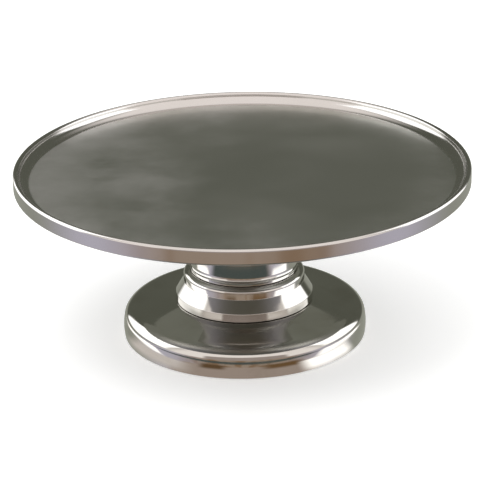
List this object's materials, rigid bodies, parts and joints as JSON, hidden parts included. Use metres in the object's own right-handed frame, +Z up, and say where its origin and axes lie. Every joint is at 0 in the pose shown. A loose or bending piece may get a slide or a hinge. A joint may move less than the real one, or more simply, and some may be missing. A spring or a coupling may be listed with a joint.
{
  "type": "cake turntable",
  "caption": "Revolving cake stand with a shallow dished round plate, a rolled rim, a round neck, two turned steps and a wide domed foot.",
  "frame": {"origin": "centre of the bottom, on the surface that the rubber feet stand on", "axes": "+Z up along the axis that the plate turns about; +X between two of the four feet"},
  "size_m": [0.305, 0.305, 0.12],
  "materials": {
    "polished_steel": "polished stainless steel with faint spin lines",
    "satin_steel": "satin dish floor with fine turning marks and a polished rim",
    "turned_steel": "turned steel",
    "bearing_steel": "ground and polished",
    "zinc_plate": "bright zinc plating",
    "brass": "stamped brass",
    "bronze": "oiled sintered bronze",
    "cast_iron": "rough casting with machined faces",
    "rubber": "moulded black rubber"
  },
  "bodies": {
    "pedestal": {"base_shell": "polished_steel", "stepped_collar": "polished_steel", "neck_tube": "polished_steel", "bearing_housing": "turned_steel", "lower_race": "bearing_steel", "upper_bush": "bronze", "lower_bush": "bronze", "base_clamp": "turned_steel", "ballast_ring": "cast_iron", "bottom_cover": "zinc_plate", "tie_rod_1": "zinc_plate", "tie_rod_2": "zinc_plate", "tie_rod_3": "zinc_plate", "tie_washer_1": "zinc_plate", "tie_washer_2": "zinc_plate", "tie_washer_3": "zinc_plate", "tie_nut_1": "zinc_plate", "tie_nut_2": "zinc_plate", "tie_nut_3": "zinc_plate", "rubber_foot_1": "rubber", "rubber_foot_2": "rubber", "rubber_foot_3": "rubber", "rubber_foot_4": "rubber", "foot_screw_1": "zinc_plate", "foot_screw_2": "zinc_plate", "foot_screw_3": "zinc_plate", "foot_screw_4": "zinc_plate"},
    "plate": {"turntable_plate": "satin_steel", "hub_flange": "turned_steel", "upper_race": "bearing_steel", "spindle": "turned_steel", "spindle_screw": "zinc_plate", "thrust_washer": "bronze", "circlip": "zinc_plate", "weld_stud_1": "zinc_plate", "weld_stud_2": "zinc_plate", "weld_stud_3": "zinc_plate", "weld_stud_4": "zinc_plate", "stud_washer_1": "zinc_plate", "stud_washer_2": "zinc_plate", "stud_washer_3": "zinc_plate", "stud_washer_4": "zinc_plate", "stud_nut_1": "zinc_plate", "stud_nut_2": "zinc_plate", "stud_nut_3": "zinc_plate", "stud_nut_4": "zinc_plate"},
    "cage": {"ball_cage": "brass", "ball_1": "bearing_steel", "ball_2": "bearing_steel", "ball_3": "bearing_steel", "ball_4": "bearing_steel", "ball_5": "bearing_steel", "ball_6": "bearing_steel", "ball_7": "bearing_steel", "ball_8": "bearing_steel", "ball_9": "bearing_steel", "ball_10": "bearing_steel", "ball_11": "bearing_steel", "ball_12": "bearing_steel"}
  },
  "joints": [
    {"name": "plate_spin", "type": "hinge", "parent": "pedestal", "child": "plate", "pos_m": [0, 0, 0.1], "axis": [0, 0, 1], "continuous": true},
    {"name": "cage_spin", "type": "hinge", "parent": "pedestal", "child": "cage", "pos_m": [0, 0, 0.0999], "axis": [0, 0, 1], "continuous": true}
  ],
  "couplings": [
    {"joint": "cage_spin", "follows": "plate_spin", "ratio": 0.5}
  ]
}
